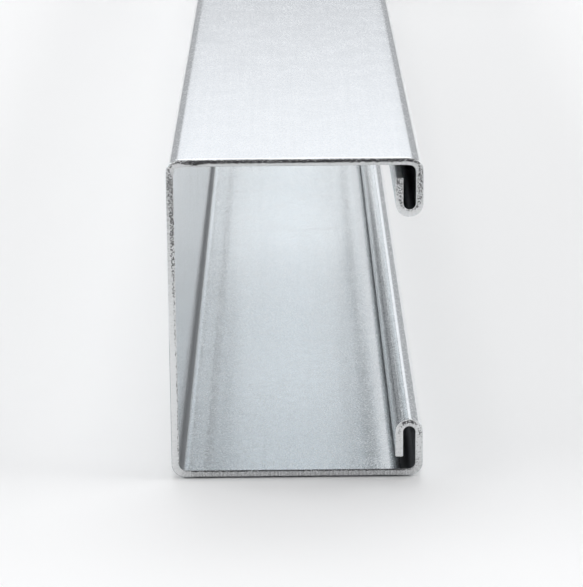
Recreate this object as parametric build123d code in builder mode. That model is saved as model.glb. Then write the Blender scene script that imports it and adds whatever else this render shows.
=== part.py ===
from build123d import *

import os

# C-purlin: one length of cold-formed galvanised steel stock, plain and unpunched.
# Its section is a C whose two lips are folded back on themselves, so that each edge of the mouth is a round
# fold with a short return leg inside the channel.
#
# Millimetres, +Z up. The stock lies on its lower flange with its length along Y, the web on the -X side and
# the open mouth towards +X. The origin is on the underside of the lower flange, in the middle of the length
# and of the width.

# Driving dimensions: lengths, widths and depths are taken over the outside of the sheet
stock_length = 3000.0
web_depth = 100.0
flange_width = 77.0
lip_depth = 18.3  # from the flange's outside to the crown of the folded lip
return_depth = 12.0  # from the crown of the folded lip to the free edge of its return leg
sheet_thickness = 2.3
corner_inside_radius = 2.0  # the four bends where the web, the flanges and the lips meet
fold_inside_radius = 1.9  # the half-turn at each edge of the mouth: the slot inside it is twice as wide
slit_edge_round = 0.3  # the rolled-down corners of the sheet's two free edges

# The middle line of the sheet, on which the flats and bends are laid out
half_sheet = sheet_thickness / 2
corner_mid_radius = corner_inside_radius + half_sheet
fold_mid_radius = fold_inside_radius + half_sheet
web_x = -flange_width / 2 + half_sheet
lip_x = flange_width / 2 - half_sheet
return_x = lip_x - 2 * fold_mid_radius
flange_z = half_sheet
fold_z = lip_depth - half_sheet - fold_mid_radius
free_edge_z = lip_depth - return_depth
mid_depth = web_depth / 2

with BuildPart() as c_purlin:
    # The section is seen looking along +Y, with X to the right and Z up
    with BuildSketch(Plane.XZ) as section:
        # Lower half: down the web, along the flange, up the lip, over the fold and down the return leg
        with BuildLine() as middle_line:
            web = Line((web_x, mid_depth), (web_x, flange_z + corner_mid_radius))
            web_bend = JernArc(web @ 1, web % 1, corner_mid_radius, 90)
            flange = Line(web_bend @ 1, (lip_x - corner_mid_radius, flange_z))
            lip_bend = JernArc(flange @ 1, flange % 1, corner_mid_radius, 90)
            lip = Line(lip_bend @ 1, (lip_x, fold_z))
            fold = JernArc(lip @ 1, lip % 1, fold_mid_radius, 180)
            return_leg = Line(fold @ 1, (return_x, free_edge_z))
        trace(line_width=sheet_thickness)

        # The free edge loses its two sharp corners, and then the upper half mirrors the lower one
        free_corners = section.vertices().sort_by_distance(return_leg @ 1)[:2]
        fillet(free_corners, slit_edge_round)
        mirror(about=Plane.XZ.offset(-mid_depth))

    extrude(amount=stock_length / 2, both=True)

c_purlin.part.label = "c_purlin"

os.makedirs("parts", exist_ok=True)
export_step(c_purlin.part, "parts/c_purlin.step")
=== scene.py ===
"""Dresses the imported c-purlin for its picture: a roll-formed galvanised section lying on a white floor.

The visible section is made the way the real one is. A flat blank is slit and sheared to length, and a tree
of geometry nodes then roll-forms it, bend by bend, into a C whose lips are folded back into the channel.

Metres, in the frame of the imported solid: the length runs along Y with the near end at -Y, the web is on the
-X side, the open mouth faces +X and the floor is at Z = 0.
"""
import logging
import math
from dataclasses import dataclass
from enum import Enum

import bpy
import numpy as np
from mathutils import Matrix, Vector, noise


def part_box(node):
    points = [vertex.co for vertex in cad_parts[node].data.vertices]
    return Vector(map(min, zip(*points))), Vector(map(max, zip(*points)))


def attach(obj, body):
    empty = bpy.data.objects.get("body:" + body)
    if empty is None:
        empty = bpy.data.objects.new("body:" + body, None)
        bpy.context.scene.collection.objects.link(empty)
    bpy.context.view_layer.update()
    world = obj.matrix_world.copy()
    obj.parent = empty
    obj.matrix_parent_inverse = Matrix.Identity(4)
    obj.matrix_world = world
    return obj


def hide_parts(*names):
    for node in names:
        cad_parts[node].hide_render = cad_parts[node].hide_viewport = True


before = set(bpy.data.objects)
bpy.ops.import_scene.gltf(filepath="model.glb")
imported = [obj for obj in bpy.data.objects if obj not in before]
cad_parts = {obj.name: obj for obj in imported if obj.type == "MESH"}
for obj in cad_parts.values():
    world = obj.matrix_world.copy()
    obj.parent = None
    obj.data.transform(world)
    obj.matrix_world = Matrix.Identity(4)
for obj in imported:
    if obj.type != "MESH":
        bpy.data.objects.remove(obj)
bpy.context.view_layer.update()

log = logging.getLogger("c_purlin")

MM = 0.001
NOISE_MIDDLE = 0.5
NODE = "c_purlin"
BODY = "root"

Colour = tuple[float, float, float]


class End(Enum):
    """The two sheared ends of the stock, by the side of the origin that they lie on along Y."""

    NEAR = -1
    FAR = 1


class Half(Enum):
    """The two mirrored halves of the section, by their side of the flat blank's middle line."""

    UPPER = -1
    LOWER = 1


class Stretch(Enum):
    """The flats and bends of half a section, in order from the middle of the web to the free edge."""

    WEB = "half of the web"
    WEB_BEND = "bend between web and flange"
    FLANGE = "flange"
    LIP_BEND = "bend between flange and lip"
    LIP = "lip"
    FOLD = "half-turn at the edge of the mouth"
    RETURN = "return leg inside the channel"


class Mark(str, Enum):
    """Attributes that the sheet carries from the flat blank to its finishes."""

    BLANK = "blank"
    CUT = "cut"
    FRACTURE = "fracture"
    DULL = "dull"
    PAINTED_SHADE = "shelter"


class TreeKind(str, Enum):
    """The kinds of node tree that the script builds."""

    GEOMETRY = "GeometryNodeTree"
    SHADER = "ShaderNodeTree"


class Socket(str, Enum):
    """The kinds of socket that the node groups show to the outside."""

    GEOMETRY = "NodeSocketGeometry"
    MATERIAL = "NodeSocketMaterial"
    NUMBER = "NodeSocketFloat"
    VECTOR = "NodeSocketVector"


class Wire:
    """A node's output that can be used in a formula, where each operation adds a Math node to its board."""

    def __init__(self, board: "NodeBoard", socket: bpy.types.NodeSocket) -> None:
        """Keeps the board that the formula is written on, and the output itself."""
        self.board = board
        self.socket = socket

    def __add__(self, other: "Wire | float") -> "Wire":
        """Sum of two values."""
        return self.board.math("ADD", self, other)

    def __sub__(self, other: "Wire | float") -> "Wire":
        """This value less the other."""
        return self.board.math("SUBTRACT", self, other)

    def __rsub__(self, other: float) -> "Wire":
        """A plain number less this value."""
        return self.board.math("SUBTRACT", other, self)

    def __mul__(self, other: "Wire | float") -> "Wire":
        """Product of two values."""
        return self.board.math("MULTIPLY", self, other)

    def __truediv__(self, other: "Wire | float") -> "Wire":
        """This value divided by the other."""
        return self.board.math("DIVIDE", self, other)

    def __rtruediv__(self, other: float) -> "Wire":
        """A plain number divided by this value."""
        return self.board.math("DIVIDE", other, self)

    def within(self, low: "Wire | float", high: "Wire | float") -> "Wire":
        """This value, held between two limits."""
        return self.board.math("MINIMUM", self.board.math("MAXIMUM", self, low), high)


class NodeBoard:
    """Adds nodes to one tree, feeds their inputs and sets them out in rows."""

    ROW_LENGTH = 10
    STEP_ACROSS = 220
    STEP_DOWN = 320

    def __init__(self, tree: bpy.types.NodeTree) -> None:
        """Keeps the tree that the nodes are added to."""
        self.tree = tree

    def add(self, kind: str, inputs: dict | None = None, **settings: object) -> bpy.types.Node:
        """Adds one node.

        Args:
            kind: The node's type name.
            inputs: Values or wires for its inputs, by the input's name or place.
            settings: The node's own properties.

        Returns:
            The new node.
        """
        row, column = divmod(len(self.tree.nodes), self.ROW_LENGTH)
        node = self.tree.nodes.new(kind)
        node.location = (column * self.STEP_ACROSS, -row * self.STEP_DOWN)
        for name, value in settings.items():
            setattr(node, name, value)
        for key, value in (inputs or {}).items():
            self.feed(node.inputs[key], value)
        return node

    def feed(self, target: bpy.types.NodeSocket, value: object) -> None:
        """Links a wire to an input, or sets the input to a plain value.

        Args:
            target: The input.
            value: The wire or the plain value.
        """
        if isinstance(value, Wire):
            self.tree.links.new(value.socket, target)
        else:
            target.default_value = value

    def out(self, node: bpy.types.Node, output: str | int = 0) -> Wire:
        """Gives one output of a node as a wire."""
        return Wire(self, node.outputs[output])

    def math(self, operation: str, *values: Wire | float) -> Wire:
        """Adds a Math node and gives its result."""
        node = self.add("ShaderNodeMath", dict(enumerate(values)), operation=operation)
        return self.out(node)

    def split(self, vector: Wire) -> tuple[Wire, Wire, Wire]:
        """Gives the three components of a vector."""
        node = self.add("ShaderNodeSeparateXYZ", {"Vector": vector})
        return self.out(node, "X"), self.out(node, "Y"), self.out(node, "Z")

    def join(self, x: Wire | float, y: Wire | float, z: Wire | float) -> Wire:
        """Makes a vector of three components."""
        return self.out(self.add("ShaderNodeCombineXYZ", {"X": x, "Y": y, "Z": z}))

    def noise(self, place: Wire, scale: Wire | float, detail: float, roughness: float) -> Wire:
        """Adds a noise pattern of values between 0 and 1.

        Args:
            place: Where the pattern is read.
            scale: Its features for each metre.
            detail: Octaves of finer noise in it.
            roughness: How much of that finer noise it has.

        Returns:
            The pattern's value.
        """
        inputs = {"Vector": place, "Scale": scale, "Detail": detail, "Roughness": roughness}
        return self.out(self.add("ShaderNodeTexNoise", inputs), "Fac")

    def ease(self, value: Wire, low: float, high: float) -> Wire:
        """Turns a value into a mask that rises smoothly from 0 at the low limit to 1 at the high one."""
        inputs = {"Value": value, "From Min": low, "From Max": high}
        return self.out(self.add("ShaderNodeMapRange", inputs, interpolation_type="SMOOTHSTEP"))

    def spread(self, value: Wire, low: Wire | float, high: Wire | float) -> Wire:
        """Spreads a value of 0 to 1 between two limits."""
        return self.out(self.add("ShaderNodeMapRange", {"Value": value, "To Min": low, "To Max": high}))

    def blend(self, share: Wire, first: Wire | Colour, second: Wire | Colour) -> Wire:
        """Mixes two colours.

        Args:
            share: The second colour's share, from 0 to 1.
            first: The colour at 0.
            second: The colour at 1.

        Returns:
            The mixed colour.
        """
        node = self.add("ShaderNodeMix", data_type="RGBA")
        colour_inputs = [socket for socket in node.inputs if socket.type == "RGBA"]
        self.feed(node.inputs["Factor"], share)
        for socket, colour in zip(colour_inputs, (first, second)):
            self.feed(socket, colour if isinstance(colour, Wire) else (*colour, 1.0))
        return Wire(self, next(socket for socket in node.outputs if socket.type == "RGBA"))

    def attribute(self, mark: Mark, output: str) -> Wire:
        """Reads one of the sheet's attributes in a material."""
        return self.out(self.add("ShaderNodeAttribute", attribute_name=mark.value), output)


class GroupBoard(NodeBoard):
    """A node group with named inputs and outputs."""

    def __init__(
        self, name: str, kind: TreeKind, inlets: dict[str, Socket], outlets: dict[str, Socket]
    ) -> None:
        """Makes the group and its sockets.

        Args:
            name: The group's name.
            kind: The kind of tree that it is.
            inlets: The kinds of its inputs, by name.
            outlets: The kinds of its outputs, by name.
        """
        super().__init__(bpy.data.node_groups.new(name, kind.value))
        for label, socket in inlets.items():
            self.tree.interface.new_socket(label, in_out="INPUT", socket_type=socket.value)
        for label, socket in outlets.items():
            self.tree.interface.new_socket(label, in_out="OUTPUT", socket_type=socket.value)
        self.entry = self.add("NodeGroupInput")
        self.exit = self.add("NodeGroupOutput")

    def inlet(self, name: str) -> Wire:
        """Gives one of the group's inputs."""
        return self.out(self.entry, name)

    def outlet(self, name: str, value: Wire) -> None:
        """Sets one of the group's outputs."""
        self.feed(self.exit.inputs[name], value)

    def identifier(self, name: str) -> str:
        """Gives the identifier of one of the group's inputs."""
        sockets = self.tree.interface.items_tree
        return next(item.identifier for item in sockets if item.in_out == "INPUT" and item.name == name)


@dataclass(frozen=True)
class SectionSize:
    """Sizes of the stock, over the outside of the sheet unless a field says otherwise."""

    length: float
    web_depth: float
    flange_width: float
    lip_depth: float = 18.3 * MM
    return_depth: float = 12.0 * MM
    sheet: float = 2.3 * MM
    corner_inside_radius: float = 2.0 * MM
    fold_inside_radius: float = 1.9 * MM
    slit_round: float = 0.3 * MM
    lead_angle: float = math.radians(4.5)
    lead_length: float = 3.0 * MM

    @classmethod
    def of_node(cls, node: str) -> "SectionSize":
        """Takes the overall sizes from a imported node's box."""
        low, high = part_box(node)
        return cls(length=high.y - low.y, web_depth=high.z - low.z, flange_width=high.x - low.x)

    @property
    def corner_radius(self) -> float:
        """The radius of a corner's tight part, at mid-sheet."""
        return self.corner_inside_radius + self.sheet / 2

    @property
    def corner_arc(self) -> float:
        """The width of a corner's tight part, at mid-sheet."""
        return self.corner_radius * (math.pi / 2 - self.lead_angle)

    @property
    def lead_radius(self) -> float:
        """The radius of the gentle lead-in that a flange has beside each corner, at mid-sheet."""
        return self.lead_length / self.lead_angle

    @property
    def fold_radius(self) -> float:
        """The radius of a lip's half-turn, at mid-sheet."""
        return self.fold_inside_radius + self.sheet / 2

    def width(self, stretch: Stretch) -> float:
        """Gives a stretch's width on the flat blank, where a bend is as wide as its arc at mid-sheet.

        Args:
            stretch: The flat or bend. A corner takes in its lead-in.

        Returns:
            The width.
        """
        sine = math.sin(self.lead_angle)
        cosine = math.cos(self.lead_angle)
        along_wall = self.corner_radius * cosine + self.lead_radius * (1 - cosine)
        along_flange = self.corner_radius * (1 - sine) + self.lead_radius * sine
        corner = self.corner_arc + self.lead_length
        fold_top = self.fold_radius + self.sheet / 2
        return {
            Stretch.WEB: self.web_depth / 2 - self.sheet / 2 - along_wall,
            Stretch.WEB_BEND: corner,
            Stretch.FLANGE: self.flange_width - self.sheet - 2 * along_flange,
            Stretch.LIP_BEND: corner,
            Stretch.LIP: self.lip_depth - self.sheet / 2 - along_wall - fold_top,
            Stretch.FOLD: math.pi * self.fold_radius,
            Stretch.RETURN: self.return_depth - fold_top,
        }[stretch]

    def across(self, half: Half, stretch: Stretch, share: float) -> float:
        """Finds a place on the flat blank.

        Args:
            half: The half of the section.
            stretch: The flat or bend.
            share: How far along the stretch, from 0 at the web's side to 1 at the free edge's side.

        Returns:
            The distance from the blank's middle line, which is negative in the upper half.
        """
        start = 0.0
        for earlier in Stretch:
            if earlier is stretch:
                break
            start += self.width(earlier)
        return half.value * (start + share * self.width(stretch))

    @property
    def half_blank(self) -> float:
        """Half the width of the flat blank."""
        return self.across(Half.LOWER, Stretch.RETURN, 1.0)


@dataclass(frozen=True)
class ShearStop:
    """What the shear left at one place along a sheared end: a torn band within the sheet's thickness.

    The band's middle and reach are in half-thicknesses, from -1 at the outside of the section to 1 at its
    inside. Beside the band the blade burnished the steel, which is more or less dull. The outer edge is
    rolled over by a share of the relief's own roll-over, and may carry painted shade, which darkens the
    rolled zinc where the contact shadow falls along the lower half.
    """

    stretch: Stretch
    share: float
    middle: float
    reach: float
    torn: float
    dull: float
    rolled: float = 0.30
    # Painted shade on the rolled outer edge, standing in for the contact shadow along the lower half.
    painted_edge_shade: float = 0.0


SHEAR_STOPS = {
    Half.UPPER: (
        ShearStop(Stretch.RETURN, 0.5, middle=-0.05, reach=0.85, torn=0.46, dull=0.3),
        ShearStop(Stretch.FOLD, 0.75, middle=0.7, reach=0.2, torn=0.5, dull=0.05),
        ShearStop(Stretch.FOLD, 0.3, middle=0.7, reach=0.2, torn=0.5, dull=0.05),
        ShearStop(Stretch.LIP, 0.7, middle=-0.1, reach=0.75, torn=0.47, dull=0.3),
        ShearStop(Stretch.LIP, 0.2, middle=-0.15, reach=0.75, torn=0.5, dull=0.35),
        ShearStop(Stretch.LIP_BEND, 0.7, middle=-0.35, reach=0.4, torn=0.6, dull=0.15),
        ShearStop(Stretch.FLANGE, 0.99, middle=-0.25, reach=0.42, torn=1.0, dull=0.05, rolled=1.0),
        ShearStop(Stretch.FLANGE, 0.09, middle=-0.22, reach=0.46, torn=1.0, dull=0.05, rolled=1.0),
        ShearStop(Stretch.FLANGE, 0.02, middle=0.05, reach=0.66, torn=1.0, dull=0.05, rolled=1.0),
        ShearStop(Stretch.WEB_BEND, 0.4, middle=-0.4, reach=0.25, torn=0.4, dull=0.05, rolled=0.7),
        ShearStop(Stretch.WEB, 0.96, middle=0.15, reach=0.85, torn=0.52, dull=0.5),
        ShearStop(Stretch.WEB, 0.68, middle=0.35, reach=0.6, torn=0.56, dull=0.28),
        ShearStop(Stretch.WEB, 0.4, middle=0.45, reach=0.5, torn=0.5, dull=0.15),
        ShearStop(Stretch.WEB, 0.1, middle=0.55, reach=0.4, torn=0.42, dull=0.05),
    ),
    Half.LOWER: (
        # The lower half's rolled outer edges carry painted shade, strongest along the lower flange's foot,
        # where the contact shadow falls.
        ShearStop(Stretch.WEB, 0.2, middle=0.75, reach=0.25, torn=0.35, dull=0.0, rolled=0.7, painted_edge_shade=0.5),
        ShearStop(Stretch.WEB, 0.45, middle=0.86, reach=0.14, torn=0.6, dull=0.0, rolled=0.7, painted_edge_shade=0.5),
        ShearStop(Stretch.WEB, 0.7, middle=0.86, reach=0.14, torn=0.65, dull=0.0, rolled=0.7, painted_edge_shade=0.5),
        ShearStop(Stretch.WEB_BEND, 0.4, middle=0.85, reach=0.15, torn=0.3, dull=0.1, rolled=0.7, painted_edge_shade=0.5),
        # The lower flange's ends are dulled to a mid grey: partly duller sheared steel, partly painted shade
        # for the contact shadow that the end reflects.
        ShearStop(Stretch.FLANGE, 0.01, middle=0.82, reach=0.22, torn=0.9, dull=0.42, rolled=1.2, painted_edge_shade=1.0),
        ShearStop(Stretch.FLANGE, 0.99, middle=0.82, reach=0.22, torn=0.9, dull=0.42, rolled=1.2, painted_edge_shade=1.0),
        ShearStop(Stretch.LIP_BEND, 0.7, middle=0.85, reach=0.15, torn=0.4, dull=0.22),
        ShearStop(Stretch.LIP, 0.5, middle=0.0, reach=1.0, torn=0.12, dull=0.08),
        ShearStop(Stretch.FOLD, 0.15, middle=-0.3, reach=0.35, torn=0.45, dull=0.15),
        ShearStop(Stretch.FOLD, 0.55, middle=-0.25, reach=0.5, torn=0.68, dull=0.25),
        ShearStop(Stretch.FOLD, 0.85, middle=0.0, reach=0.4, torn=0.4, dull=0.1),
        ShearStop(Stretch.RETURN, 0.5, middle=0.0, reach=1.0, torn=0.1, dull=0.06),
    ),
}


@dataclass(frozen=True)
class ShearRelief:
    """Depths and grain of a sheared end's relief."""

    rollover: float = 0.32 * MM
    rollover_steps: int = 4
    rows: int = 13
    band_edge: float = 0.12
    band_wander: float = 0.26
    band_grain: float = 1.1 * MM
    tear_depth: float = 0.10 * MM
    tear_grain: float = 0.55 * MM
    tear_roughness: float = 0.10 * MM
    burr_height: float = 0.06 * MM
    burr_grain: float = 0.9 * MM
    burr_share: float = 0.6


class FlatBlank:
    """The sheet before it is formed: X across, Y along and Z through it, with the section's inside up."""

    FLAT_PITCH = 0.5 * MM
    BEND_STEPS = {Stretch.WEB_BEND: 26, Stretch.LIP_BEND: 26, Stretch.FOLD: 30}
    SLIT_STEPS = 4
    # Painted shade on the inner face: a darker base colour over the web's inside and its bend, none on the
    # flange, and near-black in the lip's bend, the lip and the fold's slot.
    INNER_PAINTED_SHADE = (
        (Stretch.WEB, 0.96, 0.36),
        (Stretch.WEB_BEND, 0.08, 0.74),
        (Stretch.WEB_BEND, 0.48, 0.74),
        (Stretch.WEB_BEND, 0.70, 0.0),
        (Stretch.FLANGE, 0.955, 0.0),
        (Stretch.LIP_BEND, 0.30, 1.0),
    )
    # Painted shade on the outer face of the fold's last part and of the return leg, darker toward the free
    # edge.
    OUTER_PAINTED_SHADE = (
        (Stretch.FOLD, 0.65, 0.0),
        (Stretch.FOLD, 1.0, 0.35),
        (Stretch.RETURN, 1.0, 0.55),
    )
    # The upper half's painted shade is held lighter than the lower half's.
    MOST_PAINTED_SHADE = {Half.UPPER: 0.78, Half.LOWER: 1.0}
    ROWS_BY_AN_END = (0.15 * MM, 0.45 * MM, 1.2 * MM, 3.5 * MM, 10 * MM, 30 * MM, 80 * MM)
    ROW_PITCH = 200 * MM
    SEEDS = {End.NEAR: -12.0, End.FAR: 46.0}

    def __init__(
        self, size: SectionSize, relief: ShearRelief, stops: dict[Half, tuple[ShearStop, ...]]
    ) -> None:
        """Keeps what the blank is made from.

        Args:
            size: The section's sizes.
            relief: The relief of its sheared ends.
            stops: What the shear left along them, by half.
        """
        self.size = size
        self.relief = relief
        self.stops = stops

    def columns(self) -> np.ndarray:
        """Sets out the columns of vertices across the blank.

        Returns:
            Their distances from the middle line, closest on the bends and slit edges.
        """
        half = [0.0]
        for stretch in Stretch:
            width = self.size.width(stretch)
            steps = self.BEND_STEPS.get(stretch, round(width / self.FLAT_PITCH))
            half += list(half[-1] + width * np.arange(1, steps + 1) / steps)
        edge = half.pop()
        turns = np.linspace(0, math.pi / 2, self.SLIT_STEPS + 1)
        round_start = edge - self.size.slit_round
        half = [place for place in half if place < round_start]
        half += list(round_start + self.size.slit_round * np.sin(turns))
        return np.array([-place for place in reversed(half[1:])] + half)

    def half_thickness(self, columns: np.ndarray) -> np.ndarray:
        """Gives half the sheet's thickness, which is less where the slit edges are rounded.

        Args:
            columns: Places across the blank.

        Returns:
            One value for each column.
        """
        size = self.size
        past = np.clip(np.abs(columns) - (size.half_blank - size.slit_round), 0, size.slit_round)
        drop = size.slit_round - np.sqrt(size.slit_round**2 - past**2)
        return size.sheet / 2 - drop

    def rows(self) -> np.ndarray:
        """Sets out the rows of vertices on the coated faces.

        Returns:
            Their distances from the near end's plane.
        """
        first = self.relief.rollover + self.relief.burr_height
        from_end = [first] + [first + step for step in self.ROWS_BY_AN_END]
        middle = np.arange(from_end[-1] + self.ROW_PITCH, self.size.length / 2, self.ROW_PITCH)
        half = np.array(from_end + list(middle))
        return np.concatenate([half, self.size.length - half[::-1]])

    def shelter(self, columns: np.ndarray, stops: tuple[tuple[Stretch, float, float], ...]) -> np.ndarray:
        """Gives how far one face is hidden from the open.

        Args:
            columns: Places across the blank.
            stops: Known values along a half, each after its stretch and its share of that.

        Returns:
            Values of painted shade for the base colour, from 0 on a flange to 1 in a folded lip, as one
            column.
        """
        places = [self.size.across(Half.LOWER, stretch, share) for stretch, share, _ in stops]
        hidden = np.interp(np.abs(columns), places, [hidden for _, _, hidden in stops])
        most = np.where(columns < 0, self.MOST_PAINTED_SHADE[Half.UPPER], self.MOST_PAINTED_SHADE[Half.LOWER])
        return np.minimum(hidden, most)[:, None]

    def along_end(self, field: str, columns: np.ndarray) -> np.ndarray:
        """Reads one field of the shear stops along an end.

        Args:
            field: The field's name.
            columns: Places across the blank.

        Returns:
            One value for each place, as one column.
        """
        stops = {
            self.size.across(half, stop.stretch, stop.share): stop
            for half, row in self.stops.items()
            for stop in row
        }
        places = sorted(stops)
        return np.interp(columns, places, [getattr(stops[place], field) for place in places])[:, None]

    def fracture(self, end: End, columns: np.ndarray, depth_share: np.ndarray) -> np.ndarray:
        """Gives how torn a sheared end is.

        Args:
            end: Which end.
            columns: Places across the blank.
            depth_share: Places through the sheet at each column, from -1 at the outside to 1 at the inside.

        Returns:
            Values of 0 to 1, one for each column and place through the sheet.
        """
        edge = self.relief.band_edge
        level = np.zeros((len(columns), 1))
        wander = self.relief.band_wander * self.grain(columns, level, self.relief.band_grain, end)
        from_middle = np.abs(depth_share - self.along_end("middle", columns) - wander)
        inside = (self.along_end("reach", columns) + edge - from_middle) / (2 * edge)
        return self.along_end("torn", columns) * np.clip(inside, 0, 1)

    def end_chain(self, end: End, columns: np.ndarray) -> tuple[np.ndarray, np.ndarray, np.ndarray]:
        """Works out one end of the sheet, from its rolled-over outer edge to the burr on its inner edge.

        Args:
            end: Which end.
            columns: Places across the blank.

        Returns:
            The set-back from the end's plane, the height through the sheet and the fracture, in one row for
            each column.
        """
        relief = self.relief
        half = self.half_thickness(columns)[:, None]
        rollover = relief.rollover * self.along_end("rolled", columns)
        turns = np.linspace(0, math.pi / 2, relief.rollover_steps + 1)[1:]
        arc_back = relief.burr_height + rollover * (1 - np.sin(turns))
        arc_height = -half + rollover * (1 - np.cos(turns))
        shares = np.linspace(0, 1, relief.rows + 1)[1:]
        cut_height = -half + rollover + (2 * half - rollover) * shares
        torn = self.fracture(end, columns, cut_height / half)
        rough = self.grain(columns, cut_height, relief.tear_grain, end)
        ragged = self.grain(columns, np.zeros_like(half), relief.burr_grain, end)[:, 0]
        burr = relief.burr_height * np.clip(relief.burr_share + ragged, 0, 1)
        cut_back = relief.burr_height + torn * (relief.tear_depth + relief.tear_roughness * rough)
        cut_back[:, -1] = np.maximum(0, cut_back[:, -1] - burr)
        set_back = np.hstack([arc_back, cut_back])
        height = np.hstack([arc_height, cut_height])
        return set_back, height, np.hstack([np.zeros_like(arc_height), torn])

    def grain(self, columns: np.ndarray, heights: np.ndarray, size: float, end: End) -> np.ndarray:
        """Gives rough values over an end face, with a fixed seed for each end.

        Args:
            columns: Places across the blank.
            heights: Places through the sheet, with one row for each column.
            size: The size of a grain.
            end: Which end.

        Returns:
            Values of about -1 to 1, one for each height.
        """
        seed = self.SEEDS[end]
        return np.array([
            [noise.noise((column / size, height / size, seed)) for height in row]
            for column, row in zip(columns, heights)
        ])

    def mesh(self) -> bpy.types.Mesh:
        """Builds the blank as one closed mesh.

        Returns:
            A mesh whose columns each have one ring of vertices: along the outer face, over the far end,
            back along the inner face and over the near end. It carries the marks that the finishes read.
        """
        columns = self.columns()
        half = self.half_thickness(columns)[:, None]
        rows = self.rows()
        end_y = self.size.length / 2
        near_back, near_height, near_torn = self.end_chain(End.NEAR, columns)
        far_back, far_height, far_torn = self.end_chain(End.FAR, columns)
        outer_y = np.broadcast_to(rows - end_y, (len(columns), len(rows)))
        inner_y = outer_y[:, -2:0:-1]
        ring_y = np.hstack([outer_y, end_y - far_back, inner_y, (near_back - end_y)[:, ::-1]])
        ring_z = np.hstack([-half + 0 * outer_y, far_height, half + 0 * inner_y, near_height[:, ::-1]])
        torn = np.hstack([0 * outer_y, far_torn, 0 * inner_y, near_torn[:, ::-1]])
        # Painted shade for each face's base colour: the coated faces' own, and the painted shade on the ends'
        # rolled edges.
        outer_painted_shade = self.shelter(columns, self.OUTER_PAINTED_SHADE) + 0 * outer_y
        inner_painted_shade = self.shelter(columns, self.INNER_PAINTED_SHADE) + 0 * inner_y
        painted_edge_shade = self.along_end("painted_edge_shade", columns) + 0 * near_torn
        shelter = np.hstack([outer_painted_shade, painted_edge_shade, inner_painted_shade, painted_edge_shade])
        dull = self.along_end("dull", columns) + 0 * ring_y
        ring = ring_y.shape[1]
        ring_x = np.broadcast_to(columns[:, None], ring_y.shape)
        vertices = np.stack([ring_x, ring_y, ring_z], axis=2).reshape(-1, 3)
        faces, cut = self.side_faces(len(columns), ring, len(rows))
        for column, outward in ((0, -1), (len(columns) - 1, 1)):
            caps = self.slit_faces(column * ring, ring, len(rows))
            faces += [cap[::outward] for cap in caps]
            cut += [True] * len(caps)
        mesh = bpy.data.meshes.new("flat_blank")
        mesh.from_pydata(vertices.tolist(), [], faces)
        mesh.attributes.new(Mark.CUT.value, "BOOLEAN", "FACE").data.foreach_set("value", cut)
        for mark, values in ((Mark.FRACTURE, torn), (Mark.DULL, dull), (Mark.PAINTED_SHADE, shelter)):
            mesh.attributes.new(mark.value, "FLOAT", "POINT").data.foreach_set("value", values.ravel())
        mesh.validate()
        return mesh

    def side_faces(self, columns: int, ring: int, rows: int) -> tuple[list[list[int]], list[bool]]:
        """Lists the faces between neighbouring columns.

        Args:
            columns: The number of columns.
            ring: The number of vertices in each column's ring.
            rows: The number of them on each coated face.

        Returns:
            The faces, and for each whether it belongs to a sheared end.
        """
        bend = self.relief.rollover_steps
        chain = bend + self.relief.rows
        far_cut = range(rows - 1 + bend, rows - 1 + chain)
        near_cut = range(ring - chain, ring - bend)
        cut_steps = set(far_cut) | set(near_cut)
        faces = []
        cut = []
        for column in range(columns - 1):
            here = column * ring
            there = here + ring
            for step in range(ring):
                after = (step + 1) % ring
                faces.append([here + step, here + after, there + after, there + step])
                cut.append(step in cut_steps)
        return faces, cut

    def slit_faces(self, first: int, ring: int, rows: int) -> list[list[int]]:
        """Lists the faces that close one slit edge.

        Args:
            first: The first vertex of the edge's ring.
            ring: The number of vertices in the ring.
            rows: The number of them on each coated face.

        Returns:
            One face between each two rows and one at each end, in the ring's own direction.
        """
        chain = self.relief.rollover_steps + self.relief.rows
        far_corner = rows - 1 + chain
        inner = [far_corner + rows - 1 - row for row in range(rows)]
        strips = [[row, row + 1, inner[row + 1], inner[row]] for row in range(rows - 1)]
        far_end = list(range(rows - 1, far_corner + 1))
        near_end = list(range(inner[0], ring)) + [0]
        return [[first + vertex for vertex in face] for face in strips + [far_end, near_end]]


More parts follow.
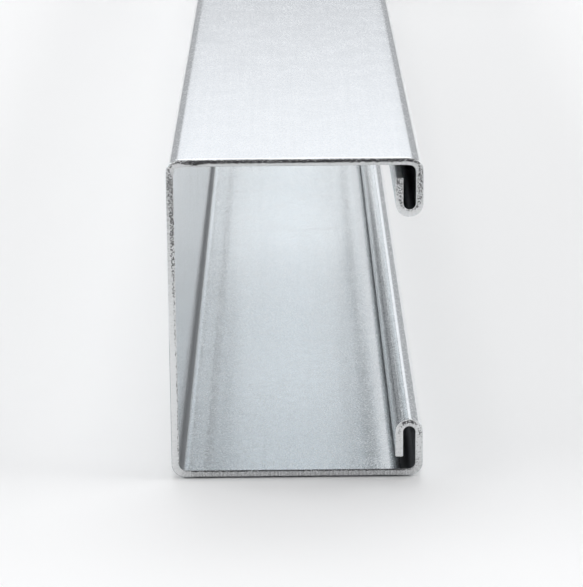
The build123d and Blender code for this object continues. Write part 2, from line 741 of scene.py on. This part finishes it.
class RollFormer:
    """Bends a flat blank into the section with a tree of geometry nodes."""

    SIZES = (
        "Web Depth", "Flange Width", "Sheet", "Corner Radius", "Corner Arc", "Lead Radius", "Lead Length",
        "Lead Angle", "Fold Radius",
    )
    STARTS = {"Web End": Stretch.WEB_BEND, "Flange End": Stretch.LIP_BEND, "Lip End": Stretch.FOLD}
    TRACK_SETTINGS = {"Track Offset": 3.0 * MM, "Track Reach": 1.4 * MM, "Track Depth": 0.004 * MM}

    def __init__(self) -> None:
        """Builds the trees once."""
        self.bend = self.bend_group()
        self.forming = self.forming_tree()

    def bend_group(self) -> bpy.types.NodeTree:
        """Builds the group that bends everything past a line round an axis above the sheet.

        Returns:
            A group that takes a point across and through the sheet, with its place on the flat blank, and
            gives the bent one.
        """
        numbers = ("Flat", "Across", "Through", "Start", "Radius", "Angle")
        outlets = {"Across": Socket.NUMBER, "Through": Socket.NUMBER}
        board = GroupBoard("Sheet Bend", TreeKind.GEOMETRY, dict.fromkeys(numbers, Socket.NUMBER), outlets)
        flat, across, through, start, radius, angle = map(board.inlet, numbers)
        turn = ((flat - start) / radius).within(0.0, angle)
        past = across - start - radius * turn
        sine = board.math("SINE", turn)
        cosine = board.math("COSINE", turn)
        board.outlet("Across", start + (radius - through) * sine + past * cosine)
        board.outlet("Through", radius - (radius - through) * cosine + past * sine)
        return board.tree

    def forming_tree(self) -> GroupBoard:
        """Builds the tree that takes the blank through the roll stands, from the folds inwards to the web.

        Returns:
            The tree's board, with named inputs for its sizes and finishes.
        """
        inlets = {"Blank": Socket.GEOMETRY}
        inlets |= dict.fromkeys([*self.SIZES, *self.STARTS, *self.TRACK_SETTINGS], Socket.NUMBER)
        inlets |= {"Coat": Socket.MATERIAL, "Sheared Face": Socket.MATERIAL}
        board = GroupBoard("Roll Forming", TreeKind.GEOMETRY, inlets, {"Section": Socket.GEOMETRY})
        sizes = map(board.inlet, self.SIZES)
        depth, flange, sheet, corner, arc, lead_radius, lead, lead_angle, fold = sizes
        web_end, flange_end, lip_end = map(board.inlet, self.STARTS)
        offset, reach, swell_depth = map(board.inlet, self.TRACK_SETTINGS)

        position = board.out(board.add("GeometryNodeInputPosition"))
        x, along, through = board.split(position)
        side = board.math("SIGN", x)
        flat = board.math("ABSOLUTE", x)

        flange_start = web_end + arc + lead
        for line in (web_end - offset, flange_start + offset, flange_end - offset):
            distance = (flat - line) / reach
            swell = (1.0 - distance * distance).within(0.0, 1.0)
            through = through + swell * swell * swell_depth

        tight_angle = math.pi / 2 - lead_angle
        stands = (
            (lip_end, fold, math.pi),
            (flange_end + lead, corner, tight_angle),
            (flange_end, lead_radius, lead_angle),
            (web_end + arc, lead_radius, lead_angle),
            (web_end, corner, tight_angle),
        )
        across = flat
        for start, radius, angle in stands:
            point = {"Flat": flat, "Across": across, "Through": through}
            bend = {"Start": start, "Radius": radius, "Angle": angle}
            stand = board.add("GeometryNodeGroup", point | bend, node_tree=self.bend)
            across = board.out(stand, "Across")
            through = board.out(stand, "Through")
        formed = board.join(through + sheet * 0.5 - flange * 0.5, along, depth * 0.5 - side * across)

        marked = board.add(
            "GeometryNodeStoreNamedAttribute",
            {"Geometry": board.inlet("Blank"), "Name": Mark.BLANK.value},
            data_type="FLOAT_VECTOR",
            domain="POINT",
        )
        board.feed(next(socket for socket in marked.inputs if socket.name == "Value"), position)
        bent = board.add("GeometryNodeSetPosition", {"Geometry": board.out(marked), "Position": formed})
        real = board.add("GeometryNodeRealizeInstances", {"Geometry": board.out(bent)})
        coating = {"Geometry": board.out(real), "Material": board.inlet("Coat")}
        coated = board.add("GeometryNodeSetMaterial", coating)
        is_cut = board.add("GeometryNodeInputNamedAttribute", {"Name": Mark.CUT.value}, data_type="BOOLEAN")
        finished = board.add("GeometryNodeSetMaterial", {
            "Geometry": board.out(coated),
            "Selection": board.out(is_cut, "Attribute"),
            "Material": board.inlet("Sheared Face"),
        })
        board.outlet("Section", board.out(finished))
        return board

    def form(
        self, piece: bpy.types.Object, size: SectionSize, finishes: dict[str, bpy.types.Material]
    ) -> None:
        """Forms a blank and leaves the section as the piece's plain mesh.

        Args:
            piece: The object that holds the flat blank.
            size: The section's sizes.
            finishes: The materials, by the tree's input that takes them.
        """
        modifier = piece.modifiers.new("Roll forming", "NODES")
        modifier.node_group = self.forming.tree
        sizes = {name: getattr(size, name.lower().replace(" ", "_")) for name in self.SIZES}
        starts = {name: size.across(Half.LOWER, stretch, 0.0) for name, stretch in self.STARTS.items()}
        for name, value in (sizes | starts | self.TRACK_SETTINGS | finishes).items():
            modifier[self.forming.identifier(name)] = value
        depsgraph = bpy.context.evaluated_depsgraph_get()
        evaluated = piece.evaluated_get(depsgraph)
        formed = bpy.data.meshes.new_from_object(
            evaluated, preserve_all_data_layers=True, depsgraph=depsgraph)
        piece.modifiers.remove(modifier)
        blank = piece.data
        piece.data = formed
        bpy.data.meshes.remove(blank)


class SurfaceEffects:
    """What more than one finish uses: a node group, and the start of a metal finish."""

    SIZES = ("Grain Size", "Cloud Size", "Streak Width", "Streak Length")
    PATTERNS = ("Grain", "Cloud", "Streak")
    GRAIN_NOISE = {"detail": 2.0, "roughness": 0.55}
    CLOUD_NOISE = {"detail": 3.0, "roughness": 0.6}
    STREAK_NOISE = {"detail": 2.0, "roughness": 0.5}

    def __init__(self) -> None:
        """Builds the group once."""
        self.grain = self.grain_group()

    def grain_group(self) -> bpy.types.NodeTree:
        """Builds the grain of the metal: fine grains, soft clouds and streaks along the rolling direction.

        Returns:
            A group that takes a place on the flat sheet and the sizes of its patterns.
        """
        inlets = {"Place": Socket.VECTOR} | dict.fromkeys(self.SIZES, Socket.NUMBER)
        outlets = dict.fromkeys(self.PATTERNS, Socket.NUMBER)
        board = GroupBoard("Metal Grain", TreeKind.SHADER, inlets, outlets)
        place = board.inlet("Place")
        grain, cloud, width, length = map(board.inlet, self.SIZES)
        board.outlet("Grain", board.noise(place, 1.0 / grain, **self.GRAIN_NOISE))
        board.outlet("Cloud", board.noise(place, 1.0 / cloud, **self.CLOUD_NOISE))
        x, y, z = board.split(place)
        stretched = board.join(x / width, y / length, z / width)
        board.outlet("Streak", board.noise(stretched, 1.0, **self.STREAK_NOISE))
        return board.tree

    def patterns(self, board: NodeBoard, place: Wire, *sizes: float) -> list[Wire]:
        """Adds the grain group to a finish.

        Args:
            board: The finish's board.
            place: The place on the flat sheet.
            sizes: The grain's and clouds' sizes, and the streaks' width and length.

        Returns:
            The fine grain, the clouds and the streaks.
        """
        inputs = {"Place": place} | dict(zip(self.SIZES, sizes))
        group = board.add("ShaderNodeGroup", inputs, node_tree=self.grain)
        return [board.out(group, name) for name in self.PATTERNS]

    def metal(self, name: str) -> tuple[bpy.types.Material, NodeBoard, bpy.types.Node]:
        """Starts a metal finish.

        Args:
            name: The material's name.

        Returns:
            The material, a board for its nodes, and its surface shader.
        """
        material = bpy.data.materials.new(name)
        material.use_nodes = True
        surface = material.node_tree.nodes["Principled BSDF"]
        surface.inputs["Metallic"].default_value = 1.0
        return material, NodeBoard(material.node_tree), surface


@dataclass(frozen=True)
class ZincCoat:
    """Hot-dip zinc as it leaves the rolls: bright and satin, with a fine grain and no large spangle."""

    light: Colour = (0.972, 0.988, 0.996)
    dull: Colour = (0.800, 0.826, 0.842)
    # Painted shade: the near-black grey that the base colour darkens to where the painted-shade mask is set.
    painted_shade_colour: Colour = (0.150, 0.156, 0.165)
    roughness_low: float = 0.09
    roughness_high: float = 0.34
    painted_shade_roughness: float = 0.55
    grain_size: float = 0.5 * MM
    cloud_size: float = 12.0 * MM
    streak_width: float = 1.6 * MM
    streak_length: float = 90.0 * MM
    grain_depth: float = 0.006 * MM
    tone_of_grain: float = 0.75
    tone_of_cloud: float = 0.15
    tone_of_streak: float = 0.10
    tone_limits: tuple[float, float] = (0.35, 0.65)
    dullness_of_cloud: float = 0.2
    dullness_limits: tuple[float, float] = (0.53, 0.64)

    def material(self, effects: SurfaceEffects) -> bpy.types.Material:
        """Builds the finish.

        Args:
            effects: What the finishes share.

        Returns:
            The material of the coated faces.
        """
        material, board, surface = effects.metal("zinc_coat")
        place = board.attribute(Mark.BLANK, "Vector")
        fine, cloud, streak = effects.patterns(
            board, place, self.grain_size, self.cloud_size, self.streak_width, self.streak_length)
        mixed = fine * self.tone_of_grain + cloud * self.tone_of_cloud + streak * self.tone_of_streak
        open_zinc = board.blend(board.ease(mixed, *self.tone_limits), self.dull, self.light)
        # Painted shade: the base colour darkens from the open zinc to a near-black grey by the mask, and the
        # roughness rises with it.
        shelter = board.attribute(Mark.PAINTED_SHADE, "Fac")
        board.feed(surface.inputs["Base Color"], board.blend(shelter, open_zinc, self.painted_shade_colour))
        clouded = fine + (cloud - NOISE_MIDDLE) * self.dullness_of_cloud
        dullness = board.ease(clouded, *self.dullness_limits)
        open_roughness = board.spread(dullness, self.roughness_low, self.roughness_high)
        roughness = open_roughness + shelter * shelter * (self.painted_shade_roughness - open_roughness)
        board.feed(surface.inputs["Roughness"], roughness)
        bump = board.add("ShaderNodeBump", {"Height": fine, "Distance": self.grain_depth, "Strength": 1.0})
        board.feed(surface.inputs["Normal"], board.out(bump))
        return material


@dataclass(frozen=True)
class ShearedSteel:
    """The bare ends: bright where the blade burnished the steel, dark and rough where the rest tore."""

    burnished: Colour = (0.80, 0.81, 0.815)
    dulled: Colour = (0.22, 0.22, 0.225)
    torn: Colour = (0.085, 0.085, 0.09)
    glint: Colour = (0.55, 0.55, 0.55)
    burnished_roughness: float = 0.40
    torn_roughness: float = 0.62
    grain_size: float = 0.50 * MM
    cloud_size: float = 2.2 * MM
    scratch_pitch: float = 0.60 * MM
    scratch_length: float = 4.0 * MM
    torn_depth: float = 0.10 * MM
    scratch_share: float = 0.08
    tear_by_grain: float = 2.4
    tear_by_cloud: float = 0.5
    tear_limits: tuple[float, float] = (0.42, 0.62)
    worn_contrast: float = 2.4
    scratch_contrast: float = 0.3
    grain_contrast: float = 0.2
    glint_limits: tuple[float, float] = (0.52, 0.72)

    def material(self, effects: SurfaceEffects) -> bpy.types.Material:
        """Builds the finish.

        Args:
            effects: What the finishes share.

        Returns:
            The material of the sheared ends and slit edges.
        """
        material, board, surface = effects.metal("sheared_steel")
        x, y, z = board.split(board.attribute(Mark.BLANK, "Vector"))
        place = board.join(x, z, y)
        fine, cloud, scratch = effects.patterns(
            board, place, self.grain_size, self.cloud_size, self.scratch_pitch, self.scratch_length)
        fine_part = fine - NOISE_MIDDLE
        ragged = fine_part * self.tear_by_grain + (cloud - NOISE_MIDDLE) * self.tear_by_cloud
        torn = board.ease(board.attribute(Mark.FRACTURE, "Fac") + ragged, *self.tear_limits)
        worn = board.attribute(Mark.DULL, "Fac")
        spots = worn * self.worn_contrast
        scratched = (scratch - NOISE_MIDDLE) * (spots + self.scratch_contrast)
        dull = worn + scratched + fine_part * (spots + self.grain_contrast)
        bright = board.blend(dull.within(0.0, 1.0), self.burnished, self.dulled)
        dark = board.blend(board.ease(fine, *self.glint_limits), self.torn, self.glint)
        board.feed(surface.inputs["Base Color"], board.blend(torn, bright, dark))
        roughness = board.spread(torn, self.burnished_roughness, self.torn_roughness)
        board.feed(surface.inputs["Roughness"], roughness)
        height = fine * torn + scratch * self.scratch_share
        bump = board.add("ShaderNodeBump", {"Height": height, "Distance": self.torn_depth, "Strength": 1.0})
        board.feed(surface.inputs["Normal"], board.out(bump))
        return material


@dataclass
class Purlin:
    """The one piece of stock, with its sheared ends and its finishes."""

    size: SectionSize
    relief: ShearRelief = ShearRelief()
    coat: ZincCoat = ZincCoat()
    sheared: ShearedSteel = ShearedSteel()
    smooth_limit: float = math.radians(42)
    name: str = "c_purlin_sheet"

    def build(self) -> bpy.types.Object:
        """Forms the section and gives it its finishes.

        Returns:
            The finished piece, at the origin, with its place in its mesh.
        """
        effects = SurfaceEffects()
        finishes = {"Coat": self.coat.material(effects), "Sheared Face": self.sheared.material(effects)}
        blank = FlatBlank(self.size, self.relief, SHEAR_STOPS)
        piece = bpy.data.objects.new(self.name, blank.mesh())
        bpy.context.scene.collection.objects.link(piece)
        RollFormer().form(piece, self.size, finishes)
        piece.data.name = self.name
        piece.data.shade_smooth()
        piece.data.set_sharp_from_angle(angle=self.smooth_limit)
        return piece

    def place(self, piece: bpy.types.Object) -> None:
        """Sets the piece in the frame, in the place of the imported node.

        Args:
            piece: The finished piece.
        """
        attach(piece, BODY)
        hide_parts(NODE)


@dataclass(frozen=True)
class Softbox:
    """A soft panel lamp, by its place, the point that it faces, its sides and the brightness of its face.

    Its place and the point are from the middle of the near end's foot.
    """

    name: str
    place: tuple[float, float, float]
    faces: tuple[float, float, float]
    sides: tuple[float, float]
    glow: float

    def hang(self, near_end: float) -> None:
        """Adds the lamp to the scene, unseen by the camera.

        Args:
            near_end: The near end's place along Y.
        """
        light = bpy.data.lights.new(self.name, "AREA")
        light.shape = "RECTANGLE"
        light.size, light.size_y = self.sides
        light.energy = self.glow * math.pi * self.sides[0] * self.sides[1]
        lamp = bpy.data.objects.new(self.name, light)
        lamp.location = Vector(self.place) + Vector((0.0, near_end, 0.0))
        aim = Vector(self.faces) - Vector(self.place)
        lamp.rotation_euler = aim.to_track_quat("-Z", "Y").to_euler()
        lamp.visible_camera = False
        bpy.context.scene.collection.objects.link(lamp)


@dataclass(frozen=True)
class PhotoCamera:
    """The camera of the picture: close to the near end, looking along the stock and a little down on it.

    Its place is from the middle of the near end's foot. The lens is for a sensor as tall as the frame.
    """

    place: tuple[float, float, float] = (-1.61 * MM, -824.17 * MM, 283.61 * MM)
    pitch: float = math.radians(15.287)
    yaw: float = math.radians(0.024)
    roll: float = math.radians(-0.548)
    lens: float = 173.93
    sensor_height: float = 36.0

    def set_up(self, near_end: float) -> None:
        """Adds the camera and makes it the scene's own.

        Args:
            near_end: The near end's place along Y.
        """
        flat = math.cos(self.pitch)
        forward = Vector((math.sin(self.yaw) * flat, math.cos(self.yaw) * flat, -math.sin(self.pitch)))
        level = Vector((math.cos(self.yaw), -math.sin(self.yaw), 0.0))
        upright = level.cross(forward)
        right = math.cos(self.roll) * level + math.sin(self.roll) * upright
        up = math.cos(self.roll) * upright - math.sin(self.roll) * level
        lens = bpy.data.cameras.new("photo_camera")
        lens.sensor_fit = "VERTICAL"
        lens.sensor_height = self.sensor_height
        lens.lens = self.lens
        camera = bpy.data.objects.new("photo_camera", lens)
        turn = Matrix((right, up, -forward)).transposed().to_4x4()
        camera.matrix_world = Matrix.Translation(Vector(self.place) + Vector((0.0, near_end, 0.0))) @ turn
        bpy.context.scene.collection.objects.link(camera)
        bpy.context.scene.camera = camera


@dataclass(frozen=True)
class Studio:
    """The white floor, the soft light and the camera round the stock."""

    floor_side: float = 60.0
    floor_gap: float = 0.2 * MM
    floor_colour: Colour = (0.93, 0.93, 0.93)
    floor_roughness: float = 0.9
    floor_sheen: float = 0.1
    room_colour: Colour = (0.945, 0.965, 1.0)
    room_glow: float = 0.15
    horizon_glow: float = 0.55
    horizon_rise: tuple[float, float] = (0.10, 0.45)
    horizon_end: tuple[float, float] = (0.55, 0.80)
    surround_glow: float = 0.47
    surround_reach: tuple[float, float] = (0.80, 0.93)
    backdrop_glow: float = 1.06
    backdrop_rise: tuple[float, float] = (0.06, 0.228)
    backdrop_side: tuple[float, float] = (0.09, 0.20)
    backdrop_front: tuple[float, float] = (0.0, 0.2)
    metal_bounces: int = 12
    camera: PhotoCamera = PhotoCamera()
    lamps: tuple[Softbox, ...] = (
        Softbox("overhead_panel", (0.0, 0.4, 2.6), (0.0, 0.4, 0.0), (1.7, 3.4), glow=1.34),
        Softbox("back_panel", (0.2, 2.6, 3.4), (0.2, 0.0, 0.0), (5.0, 1.6), glow=1.35),
        Softbox("left_panel", (-3.0, 0.7, 2.0), (0.0, 0.7, 0.0), (3.0, 2.0), glow=3.05),
        Softbox("right_panel", (3.0, 0.7, 2.0), (0.0, 0.7, 0.0), (3.0, 2.0), glow=3.35),
        Softbox("front_panel", (0.0, -3.0, 1.6), (0.0, 0.0, 0.0), (3.0, 2.0), glow=0.10),
        Softbox("channel_low", (-0.002, 0.88, 0.0183), (-0.002, 0.0, 0.0183), (0.0685, 0.0317), glow=0.54),
        Softbox("channel_middle", (-0.002, 0.88, 0.05), (-0.002, 0.0, 0.05), (0.0685, 0.0317), glow=0.70),
        Softbox("channel_high", (-0.002, 0.88, 0.0817), (-0.002, 0.0, 0.0817), (0.0685, 0.0317), glow=0.56),
    )

    def lay_floor(self) -> None:
        """Lays the floor just under the stock."""
        reach = self.floor_side / 2
        corners = ((-reach, -reach), (reach, -reach), (reach, reach), (-reach, reach))
        mesh = bpy.data.meshes.new("floor")
        mesh.from_pydata([(x, y, -self.floor_gap) for x, y in corners], [], [(0, 1, 2, 3)])
        floor = bpy.data.objects.new("floor", mesh)
        bpy.context.scene.collection.objects.link(floor)
        material = bpy.data.materials.new("floor_paper")
        material.use_nodes = True
        surface = material.node_tree.nodes["Principled BSDF"]
        surface.inputs["Base Color"].default_value = (*self.floor_colour, 1.0)
        surface.inputs["Roughness"].default_value = self.floor_roughness
        surface.inputs["Specular IOR Level"].default_value = self.floor_sheen
        mesh.materials.append(material)

    def light_sky(self) -> None:
        """Lights the room: a dim dome, brighter low down, with a backdrop and surround past the far end."""
        world = bpy.data.worlds.new("room")
        world.use_nodes = True
        board = NodeBoard(world.node_tree)
        direction = board.out(board.add("ShaderNodeTexCoord"), "Generated")
        x, y, up = board.split(direction)
        horizon = (1.0 - board.ease(up, *self.horizon_rise)) * (1.0 - board.ease(y, *self.horizon_end))
        room = board.spread(horizon, self.room_glow, self.horizon_glow)
        dome = board.spread(board.ease(y, *self.surround_reach), room, self.surround_glow)
        aside = board.ease(board.math("ABSOLUTE", x), *self.backdrop_side)
        ahead = board.ease(y, *self.backdrop_front)
        backdrop = board.ease(up, *self.backdrop_rise) * (1.0 - aside) * ahead
        sky = world.node_tree.nodes["Background"]
        board.feed(sky.inputs["Strength"], board.math("MAXIMUM", dome, backdrop * self.backdrop_glow))
        sky.inputs["Color"].default_value = (*self.room_colour, 1.0)
        bpy.context.scene.world = world

    def set_up(self, near_end: float) -> None:
        """Builds the whole studio round the near end of the stock.

        Args:
            near_end: The near end's place along Y.
        """
        self.lay_floor()
        self.light_sky()
        for lamp in self.lamps:
            lamp.hang(near_end)
        self.camera.set_up(near_end)
        bpy.context.scene.view_settings.view_transform = "Standard"
        bpy.context.scene.cycles.max_bounces = self.metal_bounces
        bpy.context.scene.cycles.glossy_bounces = self.metal_bounces


def main() -> None:
    """Builds the stock and the studio, and reports each piece."""
    logging.basicConfig(level=logging.INFO, format="%(name)s: %(message)s")
    purlin = Purlin(SectionSize.of_node(NODE))
    piece = purlin.build()
    purlin.place(piece)
    log.info("%s: %d vertices, %d faces", piece.name, len(piece.data.vertices), len(piece.data.polygons))
    low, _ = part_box(NODE)
    Studio().set_up(near_end=low.y)
    log.info("studio set up at the near end, y = %.3f m", low.y)


if __name__ == "__main__":
    main()
